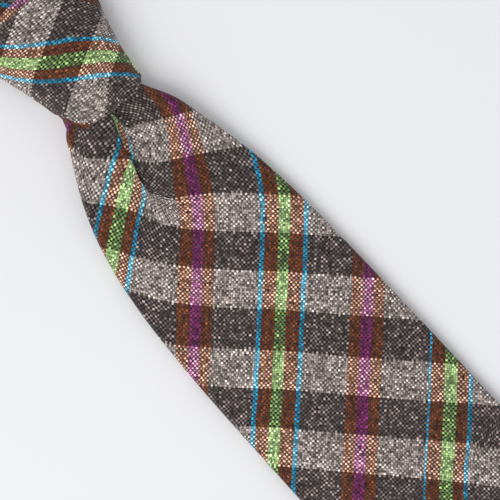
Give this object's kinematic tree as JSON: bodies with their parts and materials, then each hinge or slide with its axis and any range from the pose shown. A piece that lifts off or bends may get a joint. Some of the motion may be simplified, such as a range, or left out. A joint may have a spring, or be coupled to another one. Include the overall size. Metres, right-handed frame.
{
  "type": "necktie",
  "caption": "Tied plaid necktie with a four-in-hand knot, a standing neck loop, a pointed front blade and a narrow tail held by a keeper loop behind it.",
  "frame": {"origin": "centre of the knot's flat back, on the plane that the tie lies on", "axes": "+X to the right of a person looking at the tie's front; +Y along the tie from the knot towards the neck; +Z out of the tie's front face"},
  "size_m": [0.1232, 0.6438, 0.0335],
  "materials": {
    "plaid_cloth": "coarse plain-weave plaid, cut on the bias: grey-brown ground with brown, green, blue and magenta warp stripes and broad cream and black weft bands",
    "interlining": "brushed woven wool-blend interlining, natural cream, matt",
    "tipping": "smooth dark satin lining, soft sheen",
    "thread": "twisted sewing thread, dark brown, slight sheen",
    "label": "blank white woven satin ribbon label"
  },
  "bodies": {
    "knot": {"knot_front_wrap": "plaid_cloth", "knot_back_wrap": "plaid_cloth", "knot_inner_pass": "plaid_cloth", "knot_side_tuck": "plaid_cloth", "knot_interlining": "interlining"},
    "collar_straps": {"strap_left_shell": "plaid_cloth", "strap_right_shell": "plaid_cloth", "strap_left_interlining": "interlining", "strap_right_interlining": "interlining"},
    "neck_loop": {"neck_left_shell": "plaid_cloth", "neck_gusset_shell": "plaid_cloth", "neck_right_shell": "plaid_cloth", "neck_left_interlining": "interlining", "neck_right_interlining": "interlining", "neck_left_seam": "thread", "neck_right_seam": "thread", "neck_left_slip_stitch": "thread", "neck_right_slip_stitch": "thread"},
    "front_blade": {"blade_shell": "plaid_cloth", "blade_interlining": "interlining", "blade_slip_stitch": "thread", "keeper_loop": "plaid_cloth", "keeper_left_tack": "thread", "keeper_right_tack": "thread", "tail_strap": "plaid_cloth"},
    "blade_tip": {"blade_tip_shell": "plaid_cloth", "blade_tip_interlining": "interlining", "blade_tipping": "tipping", "blade_bar_tack": "thread", "care_label": "label"},
    "tail": {"tail_shell": "plaid_cloth", "tail_interlining": "interlining", "tail_slip_stitch": "thread"},
    "tail_tip": {"tail_tip_shell": "plaid_cloth", "tail_tip_interlining": "interlining", "tail_tipping": "tipping", "tail_bar_tack": "thread"}
  },
  "joints": [
    {"name": "knot_slide", "type": "slide", "parent": "knot", "child": "collar_straps", "axis": [0, 1, 0], "range_m": [-0.003, 0.025]},
    {"name": "collar_fold", "type": "hinge", "parent": "collar_straps", "child": "neck_loop", "pos_m": [0, 0.037, 0.0073], "axis": [1, 0, 0], "range_deg": [-95, 40]},
    {"name": "blade_lift", "type": "hinge", "parent": "knot", "child": "front_blade", "pos_m": [0, -0.021, 0.0111], "axis": [-1, 0, 0], "range_deg": [0, 105]},
    {"name": "blade_tip_fold", "type": "hinge", "parent": "front_blade", "child": "blade_tip", "pos_m": [-0.00855, -0.36, 0.0075], "axis": [-1, 0, 0], "range_deg": [0, 110]},
    {"name": "tail_slide", "type": "slide", "parent": "front_blade", "child": "tail", "axis": [0, 1, 0], "range_m": [-0.006, 0.05]},
    {"name": "tail_tip_fold", "type": "hinge", "parent": "tail", "child": "tail_tip", "pos_m": [-0.007, -0.295, 0.0011], "axis": [1, 0, 0], "range_deg": [0, 80]}
  ],
  "couplings": [
    {"joint": "tail_slide", "follows": "knot_slide", "ratio": 2}
  ]
}
